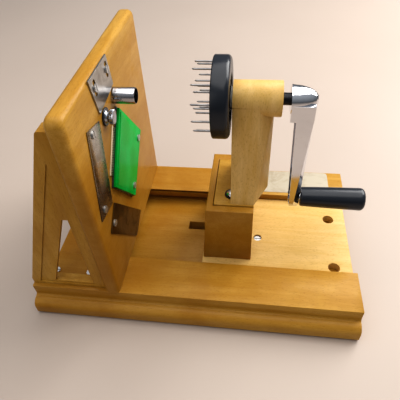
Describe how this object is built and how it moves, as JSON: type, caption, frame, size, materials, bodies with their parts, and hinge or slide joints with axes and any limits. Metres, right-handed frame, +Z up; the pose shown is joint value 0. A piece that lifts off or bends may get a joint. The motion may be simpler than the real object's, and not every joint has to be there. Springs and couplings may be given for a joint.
{
  "type": "turning vegetable slicer",
  "caption": "Hand-cranked wooden turning slicer: upright blade panel with comb and coring tube, sliding carriage with a pinned disc, and a folding-free crank.",
  "frame": {"origin": "middle of the underside of the wooden base, on the surface it stands on", "axes": "+Z up, +X from the blade panel towards the crank, +Y from the near rail to the far rail"},
  "size_m": [0.3325, 0.22, 0.2395],
  "materials": {
    "beech": "honey-coloured gloss varnish over beech",
    "beech_light": "paler varnished beech",
    "panel_ply": "thin varnished plywood",
    "stainless": "polished stainless sheet, scratched and stained",
    "knife_steel": "ground tool steel",
    "screw_steel": "zinc-plated screws",
    "chrome": "bright chrome plate",
    "green_plastic": "bright green glossy plastic",
    "cream_plastic": "cream plastic strip",
    "black_plastic": "glossy black moulded plastic",
    "black_steel": "blackened steel rod",
    "bronze": "sintered bronze bush",
    "nylon": "white nylon washer",
    "label": "blank worn paper label"
  },
  "bodies": {
    "base": {"base_floor": "beech", "near_rail": "beech", "far_rail": "beech", "rail_screws": "screw_steel", "panel_screws": "screw_steel", "maker_label": "label", "blade_panel": "beech", "near_bracket_frame": "beech", "near_bracket_web": "panel_ply", "far_bracket_frame": "beech", "far_bracket_web": "panel_ply", "top_plate": "stainless", "side_plate": "stainless", "lower_plate": "stainless", "plate_screws": "screw_steel", "slicing_knife": "knife_steel", "knife_guard": "green_plastic", "guard_screws": "screw_steel", "comb_holder": "cream_plastic", "comb_blades": "knife_steel", "comb_knob": "chrome", "comb_knob_foot": "black_plastic", "coring_tube": "chrome"},
    "carriage": {"slide_board": "beech_light", "stop_key": "beech", "key_screw": "screw_steel", "carriage_block": "beech", "post_plate": "beech_light", "spindle_post": "beech_light", "post_bolt": "chrome", "post_bolt_washer": "screw_steel", "spindle_bushes": "bronze"},
    "spindle": {"spindle_shaft": "black_steel", "pin_disc": "black_plastic", "holding_pins": "screw_steel", "disc_washer": "nylon", "crank_arm": "chrome", "crank_screw": "black_steel", "grip_axle": "chrome"},
    "grip": {"crank_grip": "black_plastic"}
  },
  "joints": [
    {"name": "carriage_slide", "type": "slide", "parent": "base", "child": "carriage", "axis": [-1, 0, 0], "range_m": [0, 0.062]},
    {"name": "spindle_spin", "type": "hinge", "parent": "carriage", "child": "spindle", "pos_m": [0.05, 0, 0.2], "axis": [1, 0, 0], "continuous": true},
    {"name": "grip_spin", "type": "hinge", "parent": "spindle", "child": "grip", "pos_m": [0.136, 0, 0.0865], "axis": [1, 0, 0], "continuous": true}
  ]
}
